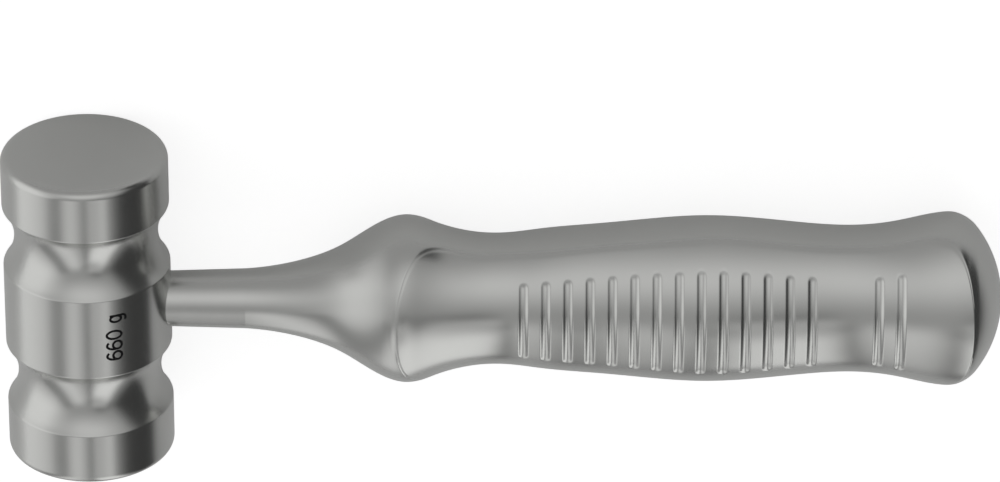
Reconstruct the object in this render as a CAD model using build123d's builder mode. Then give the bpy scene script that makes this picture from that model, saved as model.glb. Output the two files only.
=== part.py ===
from build123d import *

import math
import os

# A surgical mallet lying on its side, in millimetres.
# The handle runs along +X, the head's axis along Y and one of the two gripped faces looks up, +Z.
# The origin is under the middle of the mallet's length, on the surface that the head lies on.
# Distances called x are measured along the handle from the head's axis.

# Head, turned from solid bar
head_diameter = 38.0
head_length = 76.8
striking_edge_radius = 2.0
middle_land_width = 20.0
waist_width = 15.6
waist_depth = 2.65

# Shank, turned, with a spigot at each end
shank_head_radius = 6.2
shank_end_x = 36.0
shank_end_radius = 6.85
head_spigot_radius = 5.0
head_spigot_depth = 11.5
grip_spigot_radius = 4.6
grip_spigot_length = 14.0
spigot_clearance = 0.05
spigot_tip_gap = 0.5

# Grip, two hollow half shells welded along the middle plane
wall = 1.5
grip_end_x = 208.4
flare_slope = 0.06
pommel_half_height = 20.5
pommel_edge_radius = 9.0
pommel_cap_radius = 28.0
ridge_radius = 2.0

# Half height of the grip over its flare, bolster, throat, belly and dip, up to the pommel
height_points = [
    (shank_end_x, shank_end_radius),
    (48.5, 8.8),
    (57.6, 12.3),
    (64.9, 16.95),
    (72.6, 19.8),
    (80.0, 17.85),
    (90.5, 15.4),
    (103.0, 16.2),
    (117.0, 17.6),
    (130.0, 18.9),
    (142.0, 19.65),
    (158.0, 18.4),
    (172.5, 17.3),
    (184.5, 18.45),
]

# Depth of the grip's round form as a share of its height there
roundness_points = [
    (shank_end_x, 1.0),
    (48.5, 1.0),
    (72.8, 0.87),
    (92.0, 1.0),
    (142.0, 1.0),
    (172.5, 0.98),
    (195.4, 0.9),
    (grip_end_x, 0.9),
]

# Height of a gripped face over the middle plane, along the middle of the handle
face_height_points = [
    (shank_end_x, 16.8),
    (64.0, 16.1),
    (71.0, 16.9),
    (76.0, 15.8),
    (85.0, 13.85),
    (97.0, 12.7),
    (103.0, 13.15),
    (117.0, 13.6),
    (140.0, 15.3),
    (165.0, 13.85),
    (175.0, 13.6),
    (185.0, 14.85),
    (195.0, 16.25),
    (202.0, 16.3),
    (grip_end_x, 15.55),
]

# Radius of a gripped face's arch across the handle
face_arch_points = [
    (shank_end_x, 25.0),
    (64.0, 25.5),
    (72.0, 25.0),
    (80.0, 20.0),
    (91.0, 17.5),
    (103.0, 19.4),
    (117.0, 21.6),
    (140.0, 23.1),
    (165.0, 21.2),
    (175.0, 20.6),
    (186.0, 21.6),
    (195.5, 24.2),
    (grip_end_x, 25.0),
]

# Finger grooves across each gripped face
first_groove_x = 99.3
groove_pitch = 5.04
groove_places = 18
bare_places = (14, 15)
groove_depth = 0.4
groove_width = 2.1
groove_end_margin = 5.8

# Number of sections that each stretch of the grip is lofted through
side_sections = 26
edge_sections = 5
cap_sections = 6
face_sections = 24

# Places in the lying frame
head_radius = head_diameter / 2
overall_length = head_radius + grip_end_x
head_x = head_radius - overall_length / 2
axis_z = head_radius
middle_plane = Plane(origin=(head_x, 0, axis_z))
head_axis = Axis((head_x, 0, axis_z), (0, 1, 0))
handle_axis = Axis((head_x, 0, axis_z), (1, 0, 0))


def across(x):
    """The plane across the handle at x, with its own x along the head and its own y upwards."""
    return Plane(origin=(head_x + x, 0, axis_z), x_dir=(0, 1, 0), z_dir=(1, 0, 0))


def drawn_line(points):
    """A smooth line through points of x and a size across the handle."""
    with BuildLine() as line:
        Spline(*points)
    return line.edge()


def parameter_at(line, x):
    """The parameter at which a drawn line reaches x, found by halving."""
    low = 0.0
    high = 1.0
    for _ in range(30):
        middle = (low + high) / 2
        if line.position_at(middle, position_mode=PositionMode.PARAMETER).X < x:
            low = middle
        else:
            high = middle
    return low


def size_at(line, x):
    """The size that a drawn line gives at x."""
    return line.position_at(parameter_at(line, x), position_mode=PositionMode.PARAMETER).Y


roundness_line = drawn_line(roundness_points)
face_height_line = drawn_line(face_height_points)
face_arch_line = drawn_line(face_arch_points)

# The grip's outline runs up to the pommel's crest, round its edge and over its domed end
edge_to_cap = pommel_cap_radius - pommel_edge_radius
crest_to_edge = pommel_half_height - pommel_edge_radius
crest_x = grip_end_x - pommel_cap_radius + math.sqrt(edge_to_cap ** 2 - crest_to_edge ** 2)
cap_turn = math.degrees(math.asin(crest_to_edge / edge_to_cap))
with BuildLine() as grip_outline:
    side_line = Spline(*height_points, (crest_x, pommel_half_height), tangents=[(1, flare_slope), (1, 0)])
    edge_line = JernArc(side_line @ 1, (1, 0), pommel_edge_radius, cap_turn - 90)
    cap_line = JernArc(edge_line @ 1, edge_line % 1, pommel_cap_radius, -cap_turn)


def outline_places(start_x):
    """Points and directions along the grip's outline, closer together over the pommel's end."""
    start = parameter_at(side_line, start_x)
    places = []
    for step in range(side_sections):
        at = start + (1 - start) * step / side_sections
        point = side_line.position_at(at, position_mode=PositionMode.PARAMETER)
        direction = side_line.tangent_at(at, position_mode=PositionMode.PARAMETER)
        places.append((point, direction))
    for step in range(edge_sections):
        at = step / edge_sections
        places.append((edge_line @ at, edge_line % at))
    for step in range(cap_sections):
        at = 1 - (1 - step / cap_sections) ** 2
        places.append((cap_line @ at, cap_line % at))
    return places


def half_form(inset, start_x):
    """The upper half of the grip's form, set inwards from its outside, from start_x to the pommel."""
    with BuildPart() as form:
        for point, direction in outline_places(start_x):
            half_height = point.Y - inset * direction.X
            half_depth = point.Y * size_at(roundness_line, point.X) - inset * direction.X
            with BuildSketch(across(point.X + inset * direction.Y)):
                with BuildLine():
                    EllipticalCenterArc((0, 0), half_height, half_depth, start_angle=0, arc_size=180)
                    Line((-half_height, 0), (half_height, 0))
                make_face()
        loft()
        for step in range(face_sections + 1):
            x = shank_end_x + (grip_end_x - shank_end_x) * step / face_sections
            height = size_at(face_height_line, x) - inset
            arch = size_at(face_arch_line, x) - inset
            reach = math.sqrt(arch ** 2 - (arch - height) ** 2)
            with BuildSketch(across(x)):
                with BuildLine():
                    ThreePointArc((-reach, 0), (0, height), (reach, 0))
                    Polyline((reach, 0), (reach, -wall), (-reach, -wall), (-reach, 0))
                make_face()
        loft(mode=Mode.INTERSECT)
    return form.part


outer_form = half_form(0, shank_end_x)
hollow_form = half_form(wall, shank_end_x + grip_spigot_length)

with BuildPart() as head:
    with BuildSketch(middle_plane):
        with BuildLine():
            land = Line((head_radius, 0), (head_radius, middle_land_width / 2))
            waist = SagittaArc(land @ 1, (land @ 1) + (0, waist_width), waist_depth)
            end_land = Line(waist @ 1, (head_radius, head_length / 2))
            striking_face = Line(end_land @ 1, (0, head_length / 2))
            mirror(about=Plane.XZ)
            Line((0, -head_length / 2), (0, head_length / 2))
        make_face()
    revolve(axis=head_axis)
    end_circles = head.edges().filter_by(GeomType.CIRCLE).group_by(Axis.Y)
    fillet(end_circles[0] + end_circles[-1], striking_edge_radius)
    with BuildSketch(across(head_radius)):
        Circle(head_spigot_radius + spigot_clearance)
    extrude(amount=-head_spigot_depth - spigot_tip_gap, mode=Mode.SUBTRACT)

with BuildPart() as shank:
    with BuildSketch(middle_plane):
        with BuildLine():
            Polyline(
                (head_radius - shank_head_radius, 0),
                (head_radius - shank_head_radius, shank_head_radius),
                (shank_end_x, shank_end_radius),
                (shank_end_x, 0),
                close=True,
            )
        make_face()
    revolve(axis=handle_axis)
    with BuildSketch(Plane(origin=(head_x, -head_radius, axis_z), x_dir=(1, 0, 0), z_dir=(0, 1, 0))):
        Circle(head_radius)
    extrude(amount=head_diameter, mode=Mode.SUBTRACT)
    with BuildSketch(across(head_radius - head_spigot_depth)):
        Circle(head_spigot_radius)
    extrude(amount=shank_end_x - head_radius + head_spigot_depth)
    with BuildSketch(across(shank_end_x)):
        Circle(grip_spigot_radius)
    extrude(amount=grip_spigot_length)

# Each groove is cut by a round bar bent to the arch of the face, with a ball at each end
with BuildPart() as groove_bars:
    bar_radius = ((groove_width / 2) ** 2 + groove_depth ** 2) / (2 * groove_depth)
    for place in range(groove_places):
        if place in bare_places:
            continue
        x = first_groove_x + groove_pitch * place
        height = size_at(face_height_line, x)
        arch = size_at(face_arch_line, x)
        half_length = size_at(side_line, x) - groove_end_margin - groove_width / 2
        half_turn = math.degrees(math.asin(half_length / arch))
        with BuildLine(across(x)) as bar_line:
            CenterArc((0, height - arch), arch - groove_depth + bar_radius, 90 - half_turn, 2 * half_turn)
        bar_path = bar_line.edge()
        with BuildSketch(Plane(origin=bar_path @ 0, z_dir=bar_path % 0)):
            Circle(bar_radius)
        sweep(path=bar_path)
        with Locations(bar_path @ 0, bar_path @ 1):
            Sphere(bar_radius)

with BuildPart() as front_grip_shell:
    add(outer_form)
    add(hollow_form, mode=Mode.SUBTRACT)
    with BuildSketch(across(shank_end_x)):
        Circle(grip_spigot_radius + spigot_clearance)
    extrude(amount=grip_spigot_length + spigot_tip_gap + wall, mode=Mode.SUBTRACT)
    # A gripped face has one closed edge, and the outside one lies above the hollow's
    gripped_face = front_grip_shell.faces().filter_by(lambda face: len(face.edges()) == 1).sort_by(Axis.Z)[-1]
    fillet(gripped_face.edges(), ridge_radius)
    add(groove_bars.part, mode=Mode.SUBTRACT)

with BuildPart() as rear_grip_shell:
    mirror(front_grip_shell.part, about=middle_plane)

head.part.label = "head"
shank.part.label = "shank"
front_grip_shell.part.label = "front_grip_shell"
rear_grip_shell.part.label = "rear_grip_shell"

os.makedirs("parts", exist_ok=True)
export_step(head.part, "parts/head.step")
export_step(shank.part, "parts/shank.step")
export_step(front_grip_shell.part, "parts/front_grip_shell.step")
export_step(rear_grip_shell.part, "parts/rear_grip_shell.step")
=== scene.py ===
"""A satin stainless surgical mallet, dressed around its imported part.

Every size in this file is in millimetres in the mallet's own terms: x is measured along the handle from
the head's axis, y along the head's axis and z upwards from the middle plane of the grip. A piece is
shaped in those terms and then put in its place in the frame, in metres.
"""

import logging
import math
from collections.abc import Callable
from dataclasses import dataclass, field
from enum import Enum

import bmesh
import bpy
import numpy as np
from mathutils import Matrix, Vector


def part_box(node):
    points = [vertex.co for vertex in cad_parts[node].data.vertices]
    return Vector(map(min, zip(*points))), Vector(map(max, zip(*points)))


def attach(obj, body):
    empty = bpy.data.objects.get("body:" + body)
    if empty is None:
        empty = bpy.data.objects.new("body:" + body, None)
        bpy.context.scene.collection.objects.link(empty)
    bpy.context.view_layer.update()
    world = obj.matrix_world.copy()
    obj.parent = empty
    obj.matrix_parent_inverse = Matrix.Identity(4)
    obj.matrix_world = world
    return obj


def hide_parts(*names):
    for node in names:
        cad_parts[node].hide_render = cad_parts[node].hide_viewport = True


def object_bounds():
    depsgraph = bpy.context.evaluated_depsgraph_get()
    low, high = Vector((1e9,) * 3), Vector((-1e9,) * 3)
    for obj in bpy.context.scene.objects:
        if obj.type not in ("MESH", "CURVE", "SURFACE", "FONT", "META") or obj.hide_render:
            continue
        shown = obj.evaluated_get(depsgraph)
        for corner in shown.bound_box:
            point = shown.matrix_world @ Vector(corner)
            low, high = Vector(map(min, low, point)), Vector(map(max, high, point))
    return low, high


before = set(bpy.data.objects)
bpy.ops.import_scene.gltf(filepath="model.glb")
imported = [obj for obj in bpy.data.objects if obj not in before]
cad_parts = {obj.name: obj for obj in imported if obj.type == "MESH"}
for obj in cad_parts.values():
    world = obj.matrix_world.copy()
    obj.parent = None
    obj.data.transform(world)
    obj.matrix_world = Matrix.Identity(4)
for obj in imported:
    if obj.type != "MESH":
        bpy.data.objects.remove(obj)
cad_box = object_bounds()

log = logging.getLogger("surgical_mallet")

MM = 0.001
BODY = "root"
WHITE = (1.0, 1.0, 1.0, 1.0)
Point = tuple[float, float]
Colour = tuple[float, float, float]

# How close two places are to count as one, in millimetres: to merge, along a line and round a ring
MERGED, CLOSE, NEAR = 1e-5, 1e-4, 1e-3

# The numbers of a Mix node's colour sockets, whose names it uses more than once
MIX_FIRST, MIX_SECOND, MIX_RESULT = 6, 7, 2


class Slot(Enum):
    """The record's material slots."""

    HEAD = "head_steel"
    HANDLE = "handle_steel"


class Half(Enum):
    """The two welded halves of the grip, by the side of the middle plane that they lie on."""

    FRONT = 1.0
    REAR = -1.0


@dataclass(frozen=True)
class Lie:
    """How the mallet lies in the frame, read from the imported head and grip.

    Args:
        head_x: The head's axis along the handle's direction, in metres.
        axis_z: The middle plane's height over the floor, in metres.
        head_radius: The head's radius, in millimetres.
        head_length: The head's length, in millimetres.
        grip_end: The pommel's tip, in millimetres from the head's axis.
    """

    head_x: float
    axis_z: float
    head_radius: float
    head_length: float
    grip_end: float

    @classmethod
    def from_frame(cls) -> "Lie":
        """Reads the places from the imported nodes.

        Returns:
            The lie of the mallet in the frame.
        """
        low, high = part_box("head")
        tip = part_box("front_grip_shell")[1].x
        middle = (low + high) / 2
        size = (high - low) / MM
        return cls(middle.x, middle.z, size.z / 2, size.y, (tip - middle.x) / MM)

    def matrix(self) -> Matrix:
        """Returns the turn from the mallet's own millimetres to the frame's metres."""
        return Matrix.Translation((self.head_x, 0, self.axis_z)) @ Matrix.Scale(MM, 4)


class SmoothLine:
    """A curve through drawn points, as a draughtsman's spline bends, which gives a size at any x."""

    SAMPLES = 6000

    def __init__(self, points: list[Point], start: Point | None = None, end: Point | None = None) -> None:
        """Bends the spline.

        Args:
            points: The points, each x and a size across the handle.
            start: The direction at the first point, or None where it is free.
            end: The direction at the last point, or None where it is free.
        """
        places = np.array(points, float)
        chords = np.linalg.norm(np.diff(places, axis=0), axis=1)
        lengths = np.concatenate([[0.0], np.cumsum(chords)])
        slopes = self.slopes(places, chords, start, end)
        at = np.linspace(0, lengths[-1], self.SAMPLES)
        span = np.clip(np.searchsorted(lengths, at) - 1, 0, len(chords) - 1)
        step = chords[span][:, None]
        t = (at - lengths[span])[:, None] / step
        self.drawn = (
            (1 + 2 * t) * (1 - t) ** 2 * places[span]
            + t * (1 - t) ** 2 * step * slopes[span]
            + t ** 2 * (3 - 2 * t) * places[span + 1]
            + t ** 2 * (t - 1) * step * slopes[span + 1]
        )

    @staticmethod
    def slopes(
        places: np.ndarray, chords: np.ndarray, start: Point | None, end: Point | None
    ) -> np.ndarray:
        """Works out the direction at each point that keeps the bend even.

        Args:
            places: The drawn points.
            chords: The distances between neighbours.
            start: The direction at the first point, or None.
            end: The direction at the last point, or None.

        Returns:
            One direction for each point.
        """
        count = len(places)
        weights = np.zeros((count, count))
        pulls = np.zeros((count, 2))
        rises = np.diff(places, axis=0) / chords[:, None]
        for i in range(1, count - 1):
            weights[i, i - 1 : i + 2] = chords[i], 2 * (chords[i - 1] + chords[i]), chords[i - 1]
            pulls[i] = 3 * (chords[i] * rises[i - 1] + chords[i - 1] * rises[i])
        for row, beside, given, rise in ((0, 1, start, rises[0]), (count - 1, count - 2, end, rises[-1])):
            if given is None:
                weights[row, row], weights[row, beside], pulls[row] = 2.0, 1.0, 3 * rise
            else:
                weights[row, row], pulls[row] = 1.0, np.array(given) / np.linalg.norm(given)
        return np.linalg.solve(weights, pulls)

    def __call__(self, x: float | np.ndarray) -> float | np.ndarray:
        """Returns the size at x."""
        return np.interp(x, self.drawn[:, 0], self.drawn[:, 1])


def linked(name: str, data: bpy.types.ID) -> bpy.types.Object:
    """Makes an object of a mesh, a curve or a camera and puts it in the scene.

    Args:
        name: The object's name.
        data: What it shows.

    Returns:
        The object.
    """
    made = bpy.data.objects.new(name, data)
    bpy.context.scene.collection.objects.link(made)
    return made


def meshed(name: str, bm: bmesh.types.BMesh) -> bpy.types.Object:
    """Makes an object of a shaped mesh, which is freed.

    Args:
        name: The object's name.
        bm: The shaped mesh.

    Returns:
        The object.
    """
    mesh = bpy.data.meshes.new(name)
    bm.to_mesh(mesh)
    bm.free()
    return linked(name, mesh)


def finished(
    name: str, bm: bmesh.types.BMesh, place: Matrix, node: str | None
) -> bpy.types.Object:
    """Puts a shaped mesh in its place and makes it a piece of the mallet.

    Args:
        name: The piece's name.
        bm: The mesh in the mallet's own millimetres. It is freed.
        place: The turn to the frame.
        node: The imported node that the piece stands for, or None.

    Returns:
        The piece.
    """
    bmesh.ops.transform(bm, matrix=place, verts=bm.verts)
    for face in bm.faces:
        face.smooth = True
    piece = meshed(name, bm)
    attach(piece, BODY)
    if node is not None:
        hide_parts(node)
    log.info("%s: %d faces", name, len(piece.data.polygons))
    return piece


def even_shading(piece: bpy.types.Object) -> None:
    """Keeps flat faces flat next to rounded edges."""
    weighted = piece.modifiers.new("even shading", "WEIGHTED_NORMAL")
    weighted.keep_sharp = True
    weighted.weight = 100


def turned(outline: list[Vector], axis: Vector, turns: int) -> bmesh.types.BMesh:
    """Turns an outline all the way round an axis, as on a lathe.

    Args:
        outline: The outline's points in order, from the axis back to the axis.
        axis: The axis's direction. It passes through the origin.
        turns: The number of steps round it.

    Returns:
        The turned mesh.
    """
    bm = bmesh.new()
    chain = [bm.verts.new(point) for point in outline]
    for first, second in zip(chain, chain[1:]):
        bm.edges.new((first, second))
    bmesh.ops.spin(
        bm, geom=chain + bm.edges[:], axis=axis, cent=(0, 0, 0), dvec=(0, 0, 0),
        angle=math.tau, steps=turns, use_merge=True,
    )
    bmesh.ops.remove_doubles(bm, verts=bm.verts, dist=MERGED)
    return bm


def keep_sharp(bm: bmesh.types.BMesh, degrees: float) -> None:
    """Turns a mesh's faces outwards and keeps its sharp edges sharp.

    Args:
        bm: The mesh.
        degrees: How far an edge bends to count as sharp.
    """
    bmesh.ops.recalc_face_normals(bm, faces=bm.faces)
    for edge in bm.edges:
        edge.smooth = edge.calc_face_angle(0.0) < math.radians(degrees)


@dataclass(frozen=True)
class TurnedHead:
    """The double-faced head, turned from bar, with a waist on each side of its middle land.

    Args:
        lie: How the mallet lies in the frame.
        middle_land_width: The width of the land between the waists.
        waist_width: The width of a waist.
        waist_depth: How deep a waist is turned.
        striking_edge_radius: The rounding of a striking face's rim.
        edge_break: The rounding of a waist's edge.
        waist_steps: The steps across a waist.
        turns: The steps round the head.
        edge_steps: The steps across a rim's rounding.
        break_steps: The steps across a waist edge's rounding.
    """

    lie: Lie
    middle_land_width: float = 20.0
    waist_width: float = 15.6
    waist_depth: float = 2.65
    striking_edge_radius: float = 2.0
    edge_break: float = 0.15
    waist_steps: int = 36
    turns: int = 288
    edge_steps: int = 14
    break_steps: int = 3

    def half_outline(self) -> list[Point]:
        """Returns the outline from the middle of the middle land to the centre of a striking face."""
        radius = self.lie.head_radius
        land_end = self.middle_land_width / 2
        half = self.waist_width / 2
        sweep_radius = (half ** 2 + self.waist_depth ** 2) / (2 * self.waist_depth)
        points = [(0.0, radius)]
        for step in range(self.waist_steps + 1):
            y = -half + self.waist_width * step / self.waist_steps
            depth = math.sqrt(sweep_radius ** 2 - y ** 2) - (sweep_radius - self.waist_depth)
            points.append((land_end + half + y, radius - depth))
        end = self.lie.head_length / 2
        return points + [(end, radius), (end, radius / 2), (end, 0.0)]

    def is_ring(self, edge: bmesh.types.BMEdge, y: float) -> bool:
        """Returns whether an edge lies on the full-size ring at y, on either side of the middle."""
        return all(
            abs(abs(v.co.y) - y) < CLOSE and abs(math.hypot(v.co.x, v.co.z) - self.lie.head_radius) < NEAR
            for v in edge.verts
        )

    def build(self) -> bpy.types.Object:
        """Turns the outline and rounds its edges.

        Returns:
            The head.
        """
        half = self.half_outline()
        outline = [(-y, r) for y, r in reversed(half)] + half[1:]
        bm = turned([Vector((r, y, 0)) for y, r in outline], Vector((0, 1, 0)), self.turns)
        land_end = self.middle_land_width / 2
        rounds = (
            (self.lie.head_length / 2, self.striking_edge_radius, self.edge_steps),
            (land_end, self.edge_break, self.break_steps),
            (land_end + self.waist_width, self.edge_break, self.break_steps),
        )
        for y, radius, steps in rounds:
            rings = [edge for edge in bm.edges if self.is_ring(edge, y)]
            bmesh.ops.bevel(
                bm, geom=rings, offset=radius, offset_type="OFFSET", segments=steps, profile=0.5,
                affect="EDGES", clamp_overlap=False, material=-1,
            )
        bmesh.ops.recalc_face_normals(bm, faces=bm.faces)
        head = finished("head_turned", bm, self.lie.matrix(), "head")
        even_shading(head)
        return head


@dataclass(frozen=True)
class TurnedShank:
    """The thin cone between the head and the grip, cut to the head's round side.

    Args:
        lie: How the mallet lies in the frame.
        small_x: Where the cone has its small radius.
        small_radius: The small radius.
        end_x: Where the cone meets the grip.
        end_radius: The cone's radius there.
        spigot_radius: The radius of the spigot in the grip.
        spigot_length: The spigot's length.
        root_depth: How far the cone's middle reaches into the head's round side.
        sharp_from: How far an edge bends to count as sharp, in degrees.
        rings: The steps along the cone.
        turns: The steps round it.
    """

    lie: Lie
    small_x: float = 12.8
    small_radius: float = 6.2
    end_x: float = 36.0
    end_radius: float = 6.85
    spigot_radius: float = 4.6
    spigot_length: float = 14.0
    root_depth: float = 1.0
    sharp_from: float = 30.0
    rings: int = 12
    turns: int = 128

    def radius_at(self, x: float) -> float:
        """Returns the cone's radius at x."""
        share = (x - self.small_x) / (self.end_x - self.small_x)
        return self.small_radius + (self.end_radius - self.small_radius) * share

    def build(self) -> bpy.types.Object:
        """Turns the cone and its spigot, and cuts its end to the head.

        Returns:
            The shank.
        """
        start = self.lie.head_radius
        cone = [start + (self.end_x - start) * step / self.rings for step in range(self.rings + 1)]
        outline = [(start - self.root_depth, 0.0)] + [(x, self.radius_at(x)) for x in cone]
        outline += [
            (self.end_x, self.spigot_radius),
            (self.end_x + self.spigot_length, self.spigot_radius),
            (self.end_x + self.spigot_length, 0.0),
        ]
        bm = turned([Vector((x, r, 0)) for x, r in outline], Vector((1, 0, 0)), self.turns)
        for vert in bm.verts:
            if abs(vert.co.x - start) < CLOSE:
                vert.co.x = math.sqrt(start ** 2 - vert.co.z ** 2)
        keep_sharp(bm, self.sharp_from)
        return finished("shank_turned", bm, self.lie.matrix(), "shank")


@dataclass
class GripForm:
    """The grip's form: round across at the head's end, with an arched face let into each broad side.

    Args:
        lie: How the mallet lies in the frame.
        start_x: Where the grip starts.
        start_radius: Its radius there.
        flare_slope: How steeply it opens there.
        pommel_half_height: Half of the pommel's height at its crest.
        pommel_edge_radius: The rounding of the pommel's edge.
        pommel_cap_radius: The radius of its domed end.
        ridge_blend: How softly the round side passes into the face.
        ridge_end_blend: The same at the face's two ends.
        face_end_turn: The ridge's turn at which an end of the face begins.
        face_end_span: How much further it turns until the face ends.
        rebate_depth: The depth of the fine line along the ridge.
        rebate_inset: How far inside the ridge it lies.
        rebate_width: Its width.
        first_groove_x: The place of the first finger groove.
        groove_pitch: The distance from one groove's place to the next.
        groove_places: The number of places for grooves.
        bare_places: The places without a groove, counted from 0.
        groove_depth: A groove's depth.
        groove_width: Its width.
        groove_edge_blend: How softly its edge is broken.
        groove_end_margin: How far its ends stay inside the grip's outline.
        crowded_span: Where the rings are closest together at the face's first end.
        span_steps: The rings before, along and after that span.
        groove_reach: How far to each side of a groove its own rings stand.
        groove_steps: The rings of a groove.
        land_step: The distance between rings from groove to groove.
        least_land_steps: The fewest rings there.
        end_rings: The rings over the pommel's edge and over its domed end.
        coarse_stations: The rings along the side where no grooves have to show.
        coarse_end_rings: The rings over the pommel there.
        slope_reach: How far to each side the outline's slope is read.
        ridge_samples: The turns that are tried to find the ridge.
    """

    lie: Lie
    start_x: float = 36.0
    start_radius: float = 6.85
    flare_slope: float = 0.06
    pommel_half_height: float = 20.5
    pommel_edge_radius: float = 9.0
    pommel_cap_radius: float = 28.0
    ridge_blend: float = 0.16
    ridge_end_blend: float = 0.26
    face_end_turn: float = 0.9
    face_end_span: float = 0.5
    rebate_depth: float = 0.10
    rebate_inset: float = 0.05
    rebate_width: float = 0.72
    first_groove_x: float = 99.3
    groove_pitch: float = 5.04
    groove_places: int = 18
    bare_places: tuple[int, ...] = (14, 15)
    groove_depth: float = 0.4
    groove_width: float = 2.1
    groove_edge_blend: float = 0.12
    groove_end_margin: float = 5.8
    crowded_span: Point = (67.0, 79.0)
    span_steps: tuple[int, int, int] = (30, 46, 30)
    groove_reach: float = 1.4
    groove_steps: int = 16
    land_step: float = 0.45
    least_land_steps: int = 4
    end_rings: tuple[int, int] = (40, 46)
    coarse_stations: int = 60
    coarse_end_rings: tuple[int, int] = (8, 12)
    slope_reach: float = 0.05
    ridge_samples: int = 721
    crest_x: float = field(init=False)
    cap_turn: float = field(init=False)
    side: SmoothLine = field(init=False)
    roundness: SmoothLine = field(init=False)
    face_height: SmoothLine = field(init=False)
    face_arch: SmoothLine = field(init=False)

    def __post_init__(self) -> None:
        """Bends the lines that the form follows."""
        edge_to_cap = self.pommel_cap_radius - self.pommel_edge_radius
        crest_to_edge = self.pommel_half_height - self.pommel_edge_radius
        cap_centre = self.lie.grip_end - self.pommel_cap_radius
        self.crest_x = cap_centre + math.sqrt(edge_to_cap ** 2 - crest_to_edge ** 2)
        self.cap_turn = math.asin(crest_to_edge / edge_to_cap)
        heights = [
            (self.start_x, self.start_radius), (48.5, 8.8), (57.6, 12.3), (64.9, 16.95), (72.6, 19.8),
            (80.0, 17.85), (90.5, 15.4), (103.0, 16.2), (117.0, 17.6), (130.0, 18.9), (142.0, 19.65),
            (158.0, 18.4), (172.5, 17.3), (184.5, 18.45), (self.crest_x, self.pommel_half_height),
        ]
        self.side = SmoothLine(heights, (1, self.flare_slope), (1, 0))
        self.roundness = SmoothLine([
            (self.start_x, 1.0), (48.5, 1.0), (72.8, 0.87), (92.0, 1.0), (142.0, 1.0), (172.5, 0.98),
            (195.4, 0.9), (self.lie.grip_end, 0.9),
        ])
        self.face_height = SmoothLine([
            (self.start_x, 16.8), (64.0, 16.1), (71.0, 16.9), (76.0, 15.8), (85.0, 13.85), (97.0, 12.7),
            (103.0, 13.15), (117.0, 13.6), (140.0, 15.3), (165.0, 13.85), (175.0, 13.6), (185.0, 14.85),
            (195.0, 16.25), (202.0, 16.3), (self.lie.grip_end, 15.55),
        ])
        self.face_arch = SmoothLine([
            (self.start_x, 25.0), (64.0, 25.5), (72.0, 25.0), (80.0, 20.0), (91.0, 17.5), (103.0, 19.4),
            (117.0, 21.6), (140.0, 23.1), (165.0, 21.2), (175.0, 20.6), (186.0, 21.6), (195.5, 24.2),
            (self.lie.grip_end, 25.0),
        ])

    def groove_xs(self) -> list[float]:
        """Returns the places of the grooves along the handle."""
        return [
            self.first_groove_x + self.groove_pitch * place
            for place in range(self.groove_places)
            if place not in self.bare_places
        ]

    def side_stations(self, fine: bool) -> list[float]:
        """Chooses where the rings stand along the side, closest together over the grooves and ridge ends.

        Args:
            fine: Whether the rings have to show the grooves.

        Returns:
            The places along the handle, up to the pommel's crest.
        """
        if not fine:
            return list(np.linspace(self.start_x, self.crest_x, self.coarse_stations))
        reach = self.groove_reach
        ends = (self.start_x, *self.crowded_span, self.first_groove_x - reach)
        spans = list(zip(ends, ends[1:], self.span_steps))
        grooves = self.groove_xs()
        for x, following in zip(grooves, grooves[1:] + [self.crest_x]):
            land_end = following - reach if following < self.crest_x else following
            land_steps = max(self.least_land_steps, round((following - x - 2 * reach) / self.land_step))
            spans.append((x - reach, x + reach, self.groove_steps))
            spans.append((x + reach, land_end, land_steps))
        return [x for low, high, steps in spans for x in np.linspace(low, high, steps, endpoint=False)]

    def rings(self, fine: bool, inset: float) -> list[tuple[float, float, float]]:
        """Lists the rings of the form.

        Args:
            fine: Whether the rings have to show the grooves.
            inset: How far inside the outer skin the rings lie.

        Returns:
            For each ring its x, its half height and the x that its other sizes are read at.
        """
        rings = []
        for x in self.side_stations(fine):
            rise = float(self.side(x + self.slope_reach) - self.side(x - self.slope_reach))
            slope = rise / (2 * self.slope_reach)
            lean = 1 / math.hypot(1, slope)
            rings.append((x + inset * slope * lean, float(self.side(x)) - inset * lean, x))
        edge_steps, cap_steps = self.end_rings if fine else self.coarse_end_rings
        edge_middle = self.pommel_half_height - self.pommel_edge_radius
        edge_turn = math.pi / 2 - self.cap_turn
        inner = self.pommel_edge_radius - inset
        for step in range(edge_steps):
            turn = edge_turn * step / edge_steps
            x = self.crest_x + self.pommel_edge_radius * math.sin(turn)
            rings.append((self.crest_x + inner * math.sin(turn), edge_middle + inner * math.cos(turn), x))
        cap_centre = self.lie.grip_end - self.pommel_cap_radius
        inner = self.pommel_cap_radius - inset
        for step in range(cap_steps + 1):
            turn = self.cap_turn * (1 - step / cap_steps)
            x = cap_centre + self.pommel_cap_radius * math.cos(turn)
            rings.append((cap_centre + inner * math.cos(turn), inner * math.sin(turn), x))
        return rings

    def groove_cut(self, x: float, y: np.ndarray, z: np.ndarray, height: float, arch: float) -> np.ndarray:
        """Works out how deep the grooves are at points of a gripped face.

        Args:
            x: The ring's place along the handle.
            y: The points' places across the handle.
            z: The points' heights.
            height: The face's height over the middle plane.
            arch: The radius of the face's arch.

        Returns:
            The depth at each point.
        """
        nearest = min(self.groove_xs(), key=lambda groove: abs(groove - x))
        half_length = float(self.side(nearest)) - self.groove_end_margin - self.groove_width / 2
        around = np.arctan2(np.abs(y), z - (height - arch))
        beyond = np.maximum(0, arch * (around - math.asin(half_length / arch)))
        away = np.hypot(x - nearest, beyond)
        depth = self.groove_depth * (1 - (away / (self.groove_width / 2)) ** 2)
        blend = self.groove_edge_blend
        over = np.clip(0.5 + depth / (2 * blend), 0, 1)
        return over * depth + blend * over * (1 - over)

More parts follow.
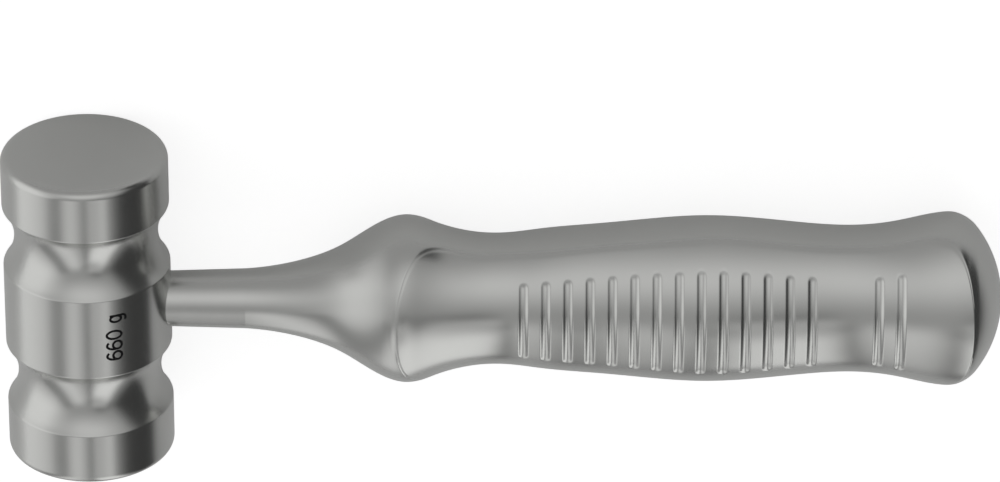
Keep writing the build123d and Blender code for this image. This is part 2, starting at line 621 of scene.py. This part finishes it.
    def ridge_turn(self, half_height: float, half_depth: float, height: float, arch: float) -> float | None:
        """Finds the turn from the middle plane at which a ring passes from its round side to its face.

        Args:
            half_height: The ring's half height.
            half_depth: The ring's half depth.
            height: The face's height over the middle plane.
            arch: The radius of the face's arch.

        Returns:
            The turn in radians, or None where the ring doesn't meet the face.
        """
        turns = np.linspace(0, math.pi / 2, self.ridge_samples)
        side, face = self.reaches(turns, half_height, half_depth, height, arch)
        outside = np.nonzero(side > face)[0]
        return float(turns[outside[0]]) if len(outside) else None

    def near_end(self, ridge: float | None) -> float:
        """Works out how near a ring is to an end of the face.

        Args:
            ridge: The turn at which the ring's ridge lies, or None.

        Returns:
            A share from 0, well along the face, to 1, at its end or beyond it.
        """
        if ridge is None:
            return 1.0
        return min(1.0, max(0.0, (ridge - self.face_end_turn) / self.face_end_span))

    @staticmethod
    def reaches(
        turns: np.ndarray, half_height: float, half_depth: float, height: float, arch: float
    ) -> tuple[np.ndarray, np.ndarray]:
        """Works out how far the round form and the arched face reach from the handle's axis.

        Args:
            turns: The turns from the middle plane, in radians.
            half_height: The round form's half height.
            half_depth: The round form's half depth.
            height: The face's height over the middle plane.
            arch: The radius of the face's arch.

        Returns:
            The round form's reach and the face's, at each turn.
        """
        cos, sin = np.cos(turns), np.sin(turns)
        side = 1 / np.sqrt((cos / half_height) ** 2 + (sin / half_depth) ** 2)
        rise = height - arch
        face = rise * sin + np.sqrt(arch ** 2 - (rise * cos) ** 2)
        return side, face


@dataclass(frozen=True)
class GripShell:
    """One hollow half of the grip, on its own side of the middle plane.

    Args:
        form: The grip's form.
        half: Which half it is.
        name: The piece's name.
        node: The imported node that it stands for.
        wall: The wall's thickness.
        columns: The steps round the outer skin.
        inner_columns: The steps round the inner skin.
        samples: The turns that the steps are spaced from.
        seam_turn: The turn of the first step beside the seam.
        ridge_crowding: How much closer together the steps are along the ridge.
        ridge_spread: How far round the crowding reaches.
        crowding_end: The ridge's turn at which the crowding has gone.
        crowding_fade: How much before that it begins to go.
        sharp_from: How far an edge bends to count as sharp, in degrees.
    """

    form: GripForm
    half: Half
    name: str
    node: str
    wall: float = 1.5
    columns: int = 150
    inner_columns: int = 40
    samples: int = 4001
    seam_turn: float = 0.004
    ridge_crowding: float = 3.0
    ridge_spread: float = 0.07
    crowding_end: float = 1.45
    crowding_fade: float = 0.3
    sharp_from: float = 40.0

    def turns(self, ridge: float | None, columns: int) -> np.ndarray:
        """Spaces a ring's points, closest together along the ridge.

        Args:
            ridge: The turn at which the ridge lies, or None.
            columns: The number of steps from one side of the middle plane to the other.

        Returns:
            The turns from the middle plane, in radians.
        """
        fine = np.linspace(0, math.pi, self.samples)
        weight = np.ones_like(fine)
        if ridge is not None:
            left = (self.crowding_end - ridge) / self.crowding_fade
            strength = self.ridge_crowding * min(1.0, max(0.0, left))
            for centre in (ridge, math.pi - ridge):
                weight += strength * np.exp(-(((fine - centre) / self.ridge_spread) ** 2))
        share = np.concatenate([[0.0], np.cumsum((weight[1:] + weight[:-1]) / 2)])
        spaced = np.interp(np.linspace(0, share[-1], columns - 1), share, fine)
        return np.concatenate([[0.0, self.seam_turn], spaced[1:-1], [math.pi - self.seam_turn, math.pi]])

    @staticmethod
    def close_between(
        bm: bmesh.types.BMesh,
        first: list[bmesh.types.BMVert],
        second: list[bmesh.types.BMVert],
        place: Callable[[bmesh.types.BMVert], float],
    ) -> None:
        """Closes the strip between two rows of vertices with triangles, in step along both.

        Args:
            bm: The mesh.
            first: One row.
            second: The other row, which runs the same way.
            place: How far along the strip a vertex lies.
        """
        at, by = 0, 0
        while at < len(first) - 1 or by < len(second) - 1:
            second_done = by == len(second) - 1
            if second_done or (at < len(first) - 1 and place(first[at + 1]) <= place(second[by + 1])):
                bm.faces.new((first[at], first[at + 1], second[by]))
                at += 1
            else:
                bm.faces.new((first[at], second[by + 1], second[by]))
                by += 1

    def ring_line(self, ring: tuple[float, float, float], inset: float, columns: int) -> np.ndarray:
        """Works out one ring of a skin.

        Args:
            ring: The ring's x, its half height and the x that its other sizes are read at.
            inset: How far inside the outer skin it lies.
            columns: The number of steps around the half.

        Returns:
            Its points' places across the handle and over the middle plane, all 0 where it has closed.
        """
        form, outer, (ring_x, half_height, x) = self.form, inset == 0, ring
        half_height = max(half_height, 0.0)
        half_depth = max((half_height + inset) * float(form.roundness(x)) - inset, 0.0)
        if min(half_height, half_depth) < NEAR:
            return np.zeros((2, columns + 1))
        height, arch = float(form.face_height(ring_x)) - inset, float(form.face_arch(ring_x)) - inset
        ridge = form.ridge_turn(half_height, half_depth, height, arch) if outer else None
        near_end = form.near_end(ridge)
        turns = self.turns(ridge, columns)
        side, face = form.reaches(turns, half_height, half_depth, height, arch)
        blend = form.ridge_blend + (form.ridge_end_blend - form.ridge_blend) * near_end
        share = np.clip(0.5 + (side - face) / (2 * blend), 0, 1)
        reach = side + (face - side) * share - blend * share * (1 - share) / 2
        if ridge is not None:
            inward = (np.minimum(turns, math.pi - turns) - ridge) * half_height
            dip = np.exp(-(((inward - form.rebate_inset) / form.rebate_width) ** 2))
            reach = reach - form.rebate_depth * (1 - near_end) * dip
        if outer:
            y, z = reach * np.cos(turns), reach * np.sin(turns)
            reach = reach - form.groove_cut(ring_x, y, z, height, arch) * share
        return np.array((reach * np.cos(turns), reach * np.sin(turns)))

    def skin(self, bm: bmesh.types.BMesh, inset: float, columns: int) -> list[list[bmesh.types.BMVert]]:
        """Shapes one skin of the shell from a flat sheet.

        Args:
            bm: The mesh to shape it in.
            inset: How far inside the outer skin it lies.
            columns: The number of steps around the half.

        Returns:
            The skin's vertices, ring by ring.
        """
        rings = self.form.rings(inset == 0, inset)
        sheet = bmesh.ops.create_grid(bm, x_segments=columns, y_segments=len(rings) - 1, size=1.0)["verts"]
        ordered = sorted(sheet, key=lambda v: (round(v.co.y, 6), round(v.co.x, 6)))
        rows = [ordered[first : first + columns + 1] for first in range(0, len(ordered), columns + 1)]
        for ring, row in zip(rings, rows):
            for vert, (across, up) in zip(row, self.ring_line(ring, inset, columns).T):
                vert.co = (ring[0], across, up * self.half.value)
        return rows

    def build(self) -> bpy.types.Object:
        """Shapes both skins, closes them along the seam and at the mouth, and welds the pommel's tip.

        Returns:
            The half shell.
        """
        bm = bmesh.new()
        outer = self.skin(bm, 0.0, self.columns)
        inner = self.skin(bm, self.wall, self.inner_columns)
        for column in (0, -1):
            edges = ([row[column] for row in rows] for rows in (outer, inner))
            self.close_between(bm, *edges, place=lambda vert: vert.co.x)
        self.close_between(bm, outer[0], inner[0], place=lambda vert: math.atan2(abs(vert.co.z), vert.co.y))
        bmesh.ops.remove_doubles(bm, verts=bm.verts, dist=CLOSE)
        still_open = sum(len(edge.link_faces) != 2 for edge in bm.edges)
        log.info("%s: open edges after closing: %d", self.name, still_open)
        keep_sharp(bm, self.sharp_from)
        return finished(self.name, bm, self.form.lie.matrix(), self.node)


@dataclass(frozen=True)
class WeightMark:
    """The head's weight in grams, marked on the middle land in plain strokes, read along the head.

    Args:
        lie: How the mallet lies in the frame.
        stroke: The width of a stroke.
        digit_width: A digit's width between the middles of its strokes.
        digit_height: A digit's height between the middles of its strokes.
        pitch: The distance from one digit to the next.
        unit_gap: The distance from the last digit to the unit.
        bowl_share: The height of a 6's bowl as a share of the digit's.
        stem_sweep: The stretch of the digit's oval that a 6's stem follows, in degrees.
        unit_shares: The width and the height of the unit's bowl as shares of a digit's.
        unit_drop: How far the unit's stem runs on under the digits.
        hook_height: The height of the hook under it.
        hook_sweep: How far round the hook goes, in degrees.
        middle_y: Where the middle of the mark lies along the head's axis.
        centre_turn: Where the digits' middle height lies, turned from the top towards the handle.
        thickness: How far the mark stands over the steel and reaches into it.
        steps: The steps of a curved stroke.
        rod_rounding: How finely a stroke's rod is rounded.
    """

    lie: Lie
    stroke: float = 0.58
    digit_width: float = 2.04
    digit_height: float = 3.5
    pitch: float = 2.72
    unit_gap: float = 4.15
    bowl_share: float = 0.6
    stem_sweep: Point = (200, 48)
    unit_shares: Point = (0.80, 0.74)
    unit_drop: float = 0.40
    hook_height: float = 0.72
    hook_sweep: float = -135
    middle_y: float = 0.27
    centre_turn: float = math.radians(20.7)
    thickness: float = 0.012
    steps: int = 28
    rod_rounding: int = 3

    def arc(self, centre: Point, reach: Point, start: float, end: float) -> list[Point]:
        """Draws a stretch of an oval.

        Args:
            centre: The oval's centre.
            reach: Its half width and half height.
            start: Where the stretch starts, in degrees from the reading direction.
            end: Where it ends.

        Returns:
            The points of the stretch.
        """
        turns = np.radians(np.linspace(start, end, self.steps + 1))
        return [(centre[0] + reach[0] * math.cos(t), centre[1] + reach[1] * math.sin(t)) for t in turns]

    def strokes(self) -> list[list[Point]]:
        """Returns the strokes of the digits 6, 6 and 0 and the unit g, as points along and up them."""
        half, tall = self.digit_width / 2, self.digit_height / 2
        bowl = tall * self.bowl_share
        drawn = []
        for digit in range(2):
            x = digit * self.pitch
            drawn.append(self.arc((x, bowl - tall), (half, bowl), 0, 360))
            drawn.append(self.arc((x, 0.0), (half, tall), *self.stem_sweep))
        drawn.append(self.arc((2 * self.pitch, 0.0), (half, tall), 0, 360))
        x = 2 * self.pitch + self.unit_gap
        slim, small = half * self.unit_shares[0], tall * self.unit_shares[1]
        drawn.append(self.arc((x, small - tall), (slim, small), 0, 360))
        stem_top, stem_foot = 2 * small - tall + self.stroke / 4, -tall - self.unit_drop
        stem = [(x + slim, up) for up in np.linspace(stem_top, stem_foot, self.steps, endpoint=False)]
        drawn.append(stem + self.arc((x, stem_foot), (slim, self.hook_height), 0, self.hook_sweep))
        return drawn

    def build(self) -> bpy.types.Object:
        """Draws the strokes as round rods, flattens them and bends them round the head.

        Returns:
            The mark.
        """
        curve = bpy.data.curves.new("weight_strokes", "CURVE")
        curve.dimensions = "3D"
        curve.bevel_depth = self.stroke / 2
        curve.bevel_resolution = self.rod_rounding
        curve.use_fill_caps = True
        for points in self.strokes():
            closed = math.dist(points[0], points[-1]) < MERGED
            used = points[:-1] if closed else points
            spline = curve.splines.new("POLY")
            spline.points.add(len(used) - 1)
            spline.use_cyclic_u = closed
            for point, (along, up) in zip(spline.points, used):
                point.co = (along, up, 0, 1)
        rods = linked("weight_strokes", curve)
        bpy.context.view_layer.update()
        rod_mesh = bpy.data.meshes.new_from_object(rods)
        bpy.data.objects.remove(rods)
        bm = bmesh.new()
        bm.from_mesh(rod_mesh)
        bpy.data.meshes.remove(rod_mesh)
        bmesh.ops.recalc_face_normals(bm, faces=bm.faces)
        radius = self.lie.head_radius
        middle = (2 * self.pitch + self.unit_gap) / 2
        for vert in bm.verts:
            along, up, rise = vert.co.x - middle, vert.co.y, vert.co.z / (self.stroke / 2)
            turn = self.centre_turn - up / radius
            reach = radius + rise * self.thickness
            vert.co = (reach * math.sin(turn), along + self.middle_y, reach * math.cos(turn))
        return finished("weight_mark", bm, self.lie.matrix(), None)


class Socket(Enum):
    """The kinds of socket that the shared groups have."""

    NUMBER = "NodeSocketFloat"
    VECTOR = "NodeSocketVector"


class ShaderGroup:
    """A shared node group that is built once and placed in each material with its own values."""

    def __init__(
        self, name: str, inputs: dict[str, tuple[Socket, float]], outputs: dict[str, Socket]
    ) -> None:
        """Makes the group's sockets.

        Args:
            name: The group's name.
            inputs: Each input's kind and usual value.
            outputs: Each output's kind.
        """
        self.tree = bpy.data.node_groups.new(name, "ShaderNodeTree")
        for label, (kind, usual) in inputs.items():
            made = self.tree.interface.new_socket(label, in_out="INPUT", socket_type=kind.value)
            if kind is Socket.NUMBER:
                made.default_value = usual
        for label, kind in outputs.items():
            self.tree.interface.new_socket(label, in_out="OUTPUT", socket_type=kind.value)
        self.entry = self.tree.nodes.new("NodeGroupInput")
        self.exit = self.tree.nodes.new("NodeGroupOutput")

    def place(self, tree: bpy.types.NodeTree, values: dict[str, float]) -> bpy.types.Node:
        """Places the group in a node tree.

        Args:
            tree: The tree to place it in.
            values: The inputs that differ from their usual values.

        Returns:
            The placed node.
        """
        node = tree.nodes.new("ShaderNodeGroup")
        node.node_tree = self.tree
        for label, value in values.items():
            node.inputs[label].default_value = value
        return node


def added(
    tree: bpy.types.NodeTree, kind: str, links: dict[str | int, object], **settings: object
) -> bpy.types.Node:
    """Adds a node, sets it up and wires its inputs.

    Args:
        tree: The tree to add it to.
        kind: The node's type.
        links: For each input, the socket that feeds it or its value.
        settings: The node's own settings.

    Returns:
        The node.
    """
    node = tree.nodes.new(kind)
    for label, value in settings.items():
        setattr(node, label, value)
    for label, value in links.items():
        if isinstance(value, bpy.types.NodeSocket):
            tree.links.new(value, node.inputs[label])
        else:
            node.inputs[label].default_value = value
    return node


def math_node(tree: bpy.types.NodeTree, operation: str, *values: object) -> bpy.types.NodeSocket:
    """Adds a Math node.

    Args:
        tree: The tree to add it to.
        operation: The operation.
        values: The numbers or sockets that it works on.

    Returns:
        Its result.
    """
    return added(tree, "ShaderNodeMath", dict(enumerate(values)), operation=operation).outputs[0]


def new_material(name: str) -> tuple[bpy.types.Material, bpy.types.NodeTree]:
    """Makes a material.

    Args:
        name: The material's name.

    Returns:
        The material and its node tree.
    """
    material = bpy.data.materials.new(name)
    material.use_nodes = True
    return material, material.node_tree


def seen_rays(tree: bpy.types.NodeTree) -> tuple[bpy.types.NodeSocket, bpy.types.NodeSocket]:
    """Adds the nodes that tell how a ray got here.

    Args:
        tree: The tree to add them to.

    Returns:
        Whether the camera sees this, also through glass, and whether a glossy surface does.
    """
    rays = added(tree, "ShaderNodeLightPath", {}).outputs
    seen = math_node(tree, "MAXIMUM", rays["Is Camera Ray"], rays["Is Transmission Ray"])
    return seen, rays["Is Glossy Ray"]


def blasted_skin() -> ShaderGroup:
    """Builds the skin that fine glass beads leave on steel: a fine even grain with faint clouds in it.

    Returns:
        The group.
    """
    group = ShaderGroup(
        "blasted_skin",
        {
            "Vector": (Socket.VECTOR, 0.0),
            "Grain Size": (Socket.NUMBER, 0.12),
            "Cloud Size": (Socket.NUMBER, 9.0),
            "Cloudiness": (Socket.NUMBER, 0.5),
        },
        {"Height": Socket.NUMBER, "Tone": Socket.NUMBER},
    )
    tree, given = group.tree, group.entry.outputs
    grain, clouds = (
        added(tree, "ShaderNodeTexNoise", {
            "Vector": given["Vector"], "Scale": math_node(tree, "DIVIDE", 1 / MM, given[size]),
            "Detail": detail, "Roughness": roughness,
        }).outputs["Fac"]
        for size, detail, roughness in (("Grain Size", 2.0, 0.6), ("Cloud Size", 3.0, 0.5))
    )
    centred = math_node(tree, "SUBTRACT", clouds, 0.5)
    tone = math_node(tree, "MULTIPLY_ADD", centred, given["Cloudiness"], 0.5)
    tree.links.new(grain, group.exit.inputs["Height"])
    tree.links.new(tone, group.exit.inputs["Tone"])
    return group


def toned_skin(
    tree: bpy.types.NodeTree, skin: ShaderGroup, values: dict[str, float], darker: Colour, lighter: Colour
) -> tuple[bpy.types.Node, bpy.types.NodeSocket]:
    """Places the blasted skin on the piece's own coordinates and colours it by its tone.

    Args:
        tree: The material's node tree.
        skin: The blasted skin's group.
        values: The group's inputs that differ from their usual values.
        darker: The colour where the skin is denser.
        lighter: The colour where it is more open.

    Returns:
        The placed group and the colour.
    """
    blasted = skin.place(tree, values)
    place = added(tree, "ShaderNodeTexCoord", {})
    tree.links.new(place.outputs["Object"], blasted.inputs["Vector"])
    mix = added(tree, "ShaderNodeMix", {
        "Factor": blasted.outputs["Tone"], MIX_FIRST: (*darker, 1), MIX_SECOND: (*lighter, 1),
    }, data_type="RGBA")
    return blasted, mix.outputs[MIX_RESULT]


@dataclass(frozen=True)
class SatinSteel:
    """Satin stainless steel, bead blasted until it is even.

    Args:
        name: The material's name.
        darker: The colour where the skin is a little denser.
        lighter: The colour where it is a little more open.
        smoother: The lowest roughness.
        rougher: The highest roughness.
        grain_size: The grain's size, in millimetres.
        grain_height: The grain's height, in millimetres.
        cloudiness: How much the faint clouds show.
    """

    name: str
    darker: Colour = (0.543, 0.546, 0.531)
    lighter: Colour = (0.577, 0.580, 0.562)
    smoother: float = 0.21
    rougher: float = 0.26
    grain_size: float = 0.12
    grain_height: float = 0.0012
    cloudiness: float = 0.8

    def build(self, skin: ShaderGroup) -> bpy.types.Material:
        """Builds the material.

        Args:
            skin: The blasted skin's group.

        Returns:
            The material.
        """
        material, tree = new_material(self.name)
        steel = tree.nodes["Principled BSDF"]
        values = {"Grain Size": self.grain_size, "Cloudiness": self.cloudiness}
        blasted, colour = toned_skin(tree, skin, values, self.darker, self.lighter)
        roughness = added(tree, "ShaderNodeMapRange", {
            "Value": blasted.outputs["Tone"], "To Min": self.smoother, "To Max": self.rougher,
        })
        bump = added(tree, "ShaderNodeBump", {
            "Height": blasted.outputs["Height"], "Distance": self.grain_height * MM, "Strength": 1.0,
        })
        tree.links.new(colour, steel.inputs["Base Color"])
        tree.links.new(roughness.outputs["Result"], steel.inputs["Roughness"])
        tree.links.new(bump.outputs["Normal"], steel.inputs["Normal"])
        steel.inputs["Metallic"].default_value = 1.0
        return material


@dataclass(frozen=True)
class MarkingInk:
    """The dark oxide that a marking laser leaves on steel, slightly uneven.

    Args:
        name: The material's name.
        darker: The colour where the oxide is denser.
        lighter: The colour where it is thinner.
        cloud_size: The size of its clouds, in millimetres.
        roughness: Its roughness.
        specular: Its specular level.
    """

    name: str = "marked_oxide"
    darker: Colour = (0.004, 0.004, 0.0045)
    lighter: Colour = (0.010, 0.010, 0.011)
    cloud_size: float = 0.4
    roughness: float = 0.75
    specular: float = 0.15

    def build(self, skin: ShaderGroup) -> bpy.types.Material:
        """Builds the material.

        Args:
            skin: The blasted skin's group.

        Returns:
            The material.
        """
        material, tree = new_material(self.name)
        oxide = tree.nodes["Principled BSDF"]
        values = {"Cloud Size": self.cloud_size, "Cloudiness": 1.0}
        _, colour = toned_skin(tree, skin, values, self.darker, self.lighter)
        tree.links.new(colour, oxide.inputs["Base Color"])
        oxide.inputs["Roughness"].default_value = self.roughness
        oxide.inputs["Specular IOR Level"].default_value = self.specular
        return material


@dataclass(frozen=True)
class SoftPanel:
    """A soft panel of the studio, seen as a window of light with feathered edges.

    Args:
        azimuth: Where its centre lies, in degrees from +X towards +Y.
        elevation: How high its centre stands over the floor, in degrees.
        half_width: Half of its width, in degrees.
        half_height: Half of its height, in degrees.
        feather: How wide its soft edge is, in degrees.
        light: What it adds to the studio's level. It is below 0 for a dark flag.
        lean: How far it leans over to its left, in degrees.
    """

    azimuth: float
    elevation: float
    half_width: float
    half_height: float
    feather: float
    light: float
    lean: float = 0.0

    def axes(self) -> tuple[Vector, Vector, Vector]:
        """Returns the directions to its centre, along its width and up its height."""
        azimuth, elevation = math.radians(self.azimuth), math.radians(self.elevation)
        flat = math.cos(elevation)
        centre = Vector((flat * math.cos(azimuth), flat * math.sin(azimuth), math.sin(elevation)))
        level = Vector((-math.sin(azimuth), math.cos(azimuth), 0))
        upright = centre.cross(level)
        lean = math.radians(self.lean)
        across = level * math.cos(lean) + upright * math.sin(lean)
        return centre, across, centre.cross(across)


@dataclass(frozen=True)
class Studio:
    """A white table in a pale studio with soft panels around it.

    Args:
        level: The light that comes from everywhere.
        lowest: The least light from any direction.
        panels: The soft panels and dark flags.
        table_half: Half of the table's width, in metres.
        table_ends: How far from the mallet the table begins to fade and is gone, in metres.
        table_colour: The table's colour, as the mallet is lit by it.
        table_glow: Its glow, as glossy surfaces see it.
        seen_colour: Its colour, as the camera sees it.
        seen_glow: Its glow, as the camera sees it.
    """

    level: float = 0.425
    lowest: float = 0.018
    panels: tuple[SoftPanel, ...] = (
        SoftPanel(88, 58, 30, 23, 45, 0.41, 13),
        SoftPanel(184, -1, 37, 46, 45, 0.60, 15),
        SoftPanel(250, 28, 10, 33, 19, 0.47, 6),
        SoftPanel(289, 32, 12, 37, 7, 0.66, -12),
        SoftPanel(345, -4, 44, 50, 23, -0.37, -25),
        SoftPanel(45, 5, 10, 11, 10, -0.52, 8),
        SoftPanel(230, 24, 8, 35, 5, -0.19, 20),
        SoftPanel(298, 59, 15, 10, 20, -0.52, 31),
        SoftPanel(271, 5, 3, 41, 6, -0.33, -1),
    )
    table_half: float = 0.6
    table_ends: Point = (0.03, 0.24)
    table_colour: float = 0.80
    table_glow: float = 0.035
    seen_colour: float = 0.50
    seen_glow: float = 0.79

    @staticmethod
    def panel_light(
        tree: bpy.types.NodeTree, way: bpy.types.NodeSocket, panel: SoftPanel
    ) -> bpy.types.NodeSocket:
        """Adds the nodes of one panel.

        Args:
            tree: The world's node tree.
            way: The direction that is looked in.
            panel: The panel.

        Returns:
            What the panel adds in that direction.
        """
        ahead, across, up = (
            added(tree, "ShaderNodeVectorMath", {0: way, 1: axis}, operation="DOT_PRODUCT").outputs["Value"]
            for axis in panel.axes()
        )
        light: object = panel.light
        for part, half in ((across, panel.half_width), (up, panel.half_height)):
            turn = math_node(tree, "ABSOLUTE", math_node(tree, "ARCTAN2", part, ahead))
            edge = added(tree, "ShaderNodeMapRange", {
                "Value": turn,
                "From Min": math.radians(max(half - panel.feather / 2, 0)),
                "From Max": math.radians(half + panel.feather / 2),
                "To Min": 1.0,
                "To Max": 0.0,
            }, interpolation_type="SMOOTHSTEP")
            light = math_node(tree, "MULTIPLY", edge.outputs["Result"], light)
        return light

    def light_world(self) -> None:
        """Makes the world: white for the camera, and the soft panels for everything that they light."""
        world = bpy.data.worlds.new("studio")
        world.use_nodes = True
        tree = world.node_tree
        tree.nodes.clear()
        way = added(tree, "ShaderNodeTexCoord", {}).outputs["Generated"]
        total: object = self.level
        for panel in self.panels:
            total = math_node(tree, "ADD", self.panel_light(tree, way, panel), total)
        total = math_node(tree, "MAXIMUM", total, self.lowest)
        seen, _ = seen_rays(tree)
        studio = added(tree, "ShaderNodeBackground", {"Color": WHITE, "Strength": total})
        white = added(tree, "ShaderNodeBackground", {"Color": WHITE, "Strength": 1.0})
        mixed = added(tree, "ShaderNodeMixShader", {0: seen, 1: studio.outputs[0], 2: white.outputs[0]})
        added(tree, "ShaderNodeOutputWorld", {"Surface": mixed.outputs[0]})
        bpy.context.scene.world = world

    def table_fade(self, tree: bpy.types.NodeTree) -> bpy.types.NodeSocket:
        """Adds the nodes that fade the table out around the mallet.

        Args:
            tree: The table's node tree.

        Returns:
            A share from 0, near the mallet, to 1, where the table has gone.
        """
        place = added(tree, "ShaderNodeTexCoord", {})
        parts = added(tree, "ShaderNodeSeparateXYZ", {0: place.outputs["Object"]}).outputs
        past_end = math_node(tree, "SUBTRACT", math_node(tree, "ABSOLUTE", parts["X"]), cad_box[1][0])
        beside = math_node(tree, "MAXIMUM", past_end, 0.0)
        across = math_node(tree, "MULTIPLY", parts["Y"], parts["Y"])
        away = math_node(tree, "SQRT", math_node(tree, "MULTIPLY_ADD", beside, beside, across))
        return added(tree, "ShaderNodeMapRange", {
            "Value": away, "From Min": self.table_ends[0], "From Max": self.table_ends[1],
        }, interpolation_type="SMOOTHSTEP").outputs["Result"]

    def lay_floor(self) -> None:
        """Lays the white table top under the mallet, fading out around it."""
        bm = bmesh.new()
        bmesh.ops.create_grid(bm, x_segments=2, y_segments=2, size=self.table_half)
        floor = meshed("table_top", bm)
        material, tree = new_material("white_table")
        tree.nodes.clear()
        seen, glossy = seen_rays(tree)
        glow = math_node(tree, "MULTIPLY_ADD", seen, self.seen_glow, math_node(
            tree, "MULTIPLY", glossy, self.table_glow))
        darker = self.seen_colour - self.table_colour
        colour = math_node(tree, "MULTIPLY_ADD", seen, darker, self.table_colour)
        matt = added(tree, "ShaderNodeBsdfDiffuse", {"Color": colour})
        lit = added(tree, "ShaderNodeEmission", {"Strength": glow})
        both = added(tree, "ShaderNodeAddShader", {0: matt.outputs[0], 1: lit.outputs[0]})
        clear = added(tree, "ShaderNodeBsdfTransparent", {})
        mixed = added(tree, "ShaderNodeMixShader", {
            0: self.table_fade(tree), 1: both.outputs[0], 2: clear.outputs[0],
        })
        added(tree, "ShaderNodeOutputMaterial", {"Surface": mixed.outputs[0]})
        floor.data.materials.append(material)

    def build(self) -> None:
        """Lays the floor, lights the world and sets how colours are shown."""
        self.lay_floor()
        self.light_world()
        bpy.context.scene.view_settings.view_transform = "Standard"


@dataclass(frozen=True)
class PhotographView:
    """The photograph's camera, fitted to the head's outline and its end ellipse.

    Args:
        lie: How the mallet lies in the frame.
        aim_x: Where it aims along the handle, in millimetres from the head's axis.
        above: How far it stands away from the gripped face's normal towards +Y, in degrees.
        distance: Its distance, in millimetres.
        lens: Its focal length.
        sensor_width: The width of its sensor.
        shift: How far the photograph's frame is shifted, as shares of its width.
        sees_to: How far it sees, in metres.
    """

    lie: Lie
    aim_x: float = 94.12
    above: float = 30.8
    distance: float = 1861.0
    lens: float = 293.54
    sensor_width: float = 36.0
    shift: Point = (-0.0005, 0.0572)
    sees_to: float = 50.0

    def build(self) -> None:
        """Makes the camera."""
        data = bpy.data.cameras.new("photograph_view")
        data.lens = self.lens
        data.sensor_width = self.sensor_width
        data.shift_x, data.shift_y = self.shift
        data.clip_end = self.sees_to
        camera = linked("photograph_view", data)
        turn = math.radians(self.above)
        back = Vector((0, math.sin(turn), math.cos(turn)))
        up = Vector((0, math.cos(turn), -math.sin(turn)))
        aim = Vector((self.lie.head_x + self.aim_x * MM, 0, self.lie.axis_z))
        axes = Matrix((up.cross(back), up, back)).transposed().to_4x4()
        camera.matrix_world = Matrix.Translation(aim + back * self.distance * MM) @ axes
        bpy.context.scene.camera = camera


def main() -> None:
    """Builds the mallet, its finishes, the studio and the camera."""
    logging.basicConfig(level=logging.INFO, format="%(name)s: %(message)s")
    lie = Lie.from_frame()
    form = GripForm(lie)
    head = TurnedHead(lie).build()
    shank = TurnedShank(lie).build()
    shells = [
        GripShell(form, Half.FRONT, "grip_front_skin", "front_grip_shell").build(),
        GripShell(form, Half.REAR, "grip_rear_skin", "rear_grip_shell").build(),
    ]
    mark = WeightMark(lie).build()
    skin = blasted_skin()
    head_steel = SatinSteel("satin_head_steel").build(skin)
    handle_steel = SatinSteel("satin_handle_steel").build(skin)
    head.data.materials.append(head_steel)
    mark.data.materials.append(MarkingInk().build(skin))
    for piece in (shank, *shells):
        piece.data.materials.append(handle_steel)
    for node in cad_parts.values():
        node.data.materials.clear()
        node.data.materials.append(head_steel if node.name == "head" else handle_steel)
    Studio().build()
    PhotographView(lie).build()


if __name__ == "__main__":
    main()
